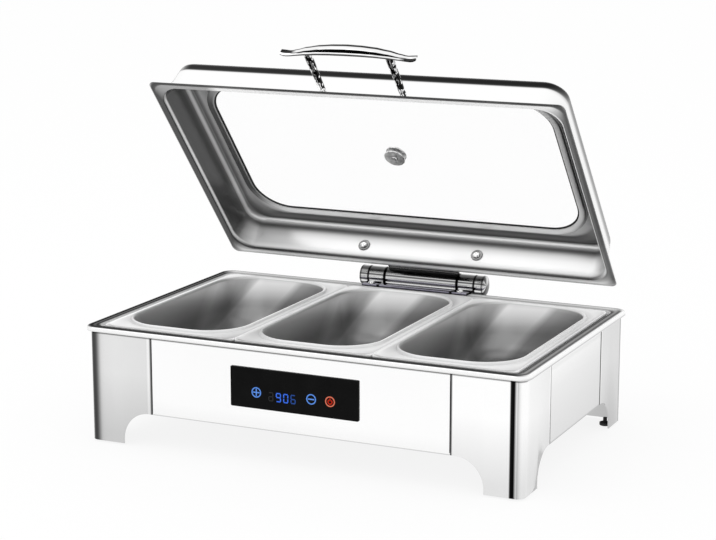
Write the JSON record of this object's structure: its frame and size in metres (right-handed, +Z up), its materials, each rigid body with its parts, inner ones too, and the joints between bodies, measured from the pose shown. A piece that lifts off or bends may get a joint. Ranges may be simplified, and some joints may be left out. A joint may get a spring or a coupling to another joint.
{
  "type": "electric chafing dish",
  "caption": "Footed electric chafing dish: lift-out food pans over a heated water bath, a hinged lid with a glass window, and a touch control panel.",
  "frame": {"origin": "centre of the bounding box, at the table under the feet, with the lid half open", "axes": "+X to the right as seen by someone at the controls, +Y to the rear where the hinge is, +Z up"},
  "size_m": [0.566, 0.3914, 0.4819],
  "materials": {
    "polished": "mirror polished stainless steel",
    "satin": "satin stainless steel",
    "hinge_chrome": "bright chrome plate",
    "cast": "cast, matt",
    "black_rubber": "matt black",
    "black_glass": "glossy black, opaque",
    "clear_glass": "clear tempered glass",
    "dark_plastic": "moulded",
    "circuit": "green solder mask",
    "ceramic": "ceramic, matt"
  },
  "bodies": {
    "base": {"top_rim": "polished", "front_panel": "polished", "rear_panel": "polished", "left_panel": "polished", "right_panel": "polished", "leg_front_left": "polished", "leg_front_right": "polished", "leg_rear_left": "polished", "leg_rear_right": "polished", "bottom_cover": "satin", "heating_element": "satin", "element_clamp": "satin", "heat_shield": "satin", "hinge_shaft": "satin", "hinge_base_bracket": "hinge_chrome", "hinge_cap_left": "hinge_chrome", "hinge_cap_right": "hinge_chrome", "hinge_screw_left": "hinge_chrome", "hinge_screw_right": "hinge_chrome", "heating_plate": "cast", "foot_front_left": "black_rubber", "foot_front_right": "black_rubber", "foot_rear_left": "black_rubber", "foot_rear_right": "black_rubber", "touch_panel": "black_glass", "display_module": "dark_plastic", "control_box": "dark_plastic", "power_relay": "dark_plastic", "power_inlet": "dark_plastic", "control_board": "circuit", "thermal_cutout": "ceramic", "terminal_block": "ceramic"},
    "lid": {"lid_shell": "polished", "window_glass": "clear_glass", "window_seal": "black_rubber", "lid_screw_left": "hinge_chrome", "lid_screw_right": "hinge_chrome", "lid_washer_left": "hinge_chrome", "lid_washer_right": "hinge_chrome", "vent_base": "hinge_chrome", "vent_cap": "hinge_chrome", "vent_screw": "hinge_chrome", "handle_bar": "hinge_chrome", "handle_post_left": "hinge_chrome", "handle_post_right": "hinge_chrome", "handle_screw_left": "hinge_chrome", "handle_screw_right": "hinge_chrome", "hinge_sleeve": "hinge_chrome"},
    "water_pan": {"water_pan": "satin"},
    "food_pan_left": {"food_pan_left": "satin"},
    "food_pan_middle": {"food_pan_middle": "satin"},
    "food_pan_right": {"food_pan_right": "satin"}
  },
  "joints": [
    {"name": "lid_hinge", "type": "hinge", "parent": "base", "child": "lid", "pos_m": [0, 0.1827, 0.1508], "axis": [-1, 0, 0], "range_deg": [-49.2, 40.8]},
    {"name": "water_pan_lift", "type": "slide", "parent": "base", "child": "water_pan", "axis": [0, -0.342, 0.9397], "range_m": [0, 0.07]},
    {"name": "food_pan_left_lift", "type": "slide", "parent": "water_pan", "child": "food_pan_left", "axis": [0, -0.342, 0.9397], "range_m": [0, 0.07]},
    {"name": "food_pan_middle_lift", "type": "slide", "parent": "water_pan", "child": "food_pan_middle", "axis": [0, -0.342, 0.9397], "range_m": [0, 0.07]},
    {"name": "food_pan_right_lift", "type": "slide", "parent": "water_pan", "child": "food_pan_right", "axis": [0, -0.342, 0.9397], "range_m": [0, 0.07]}
  ]
}
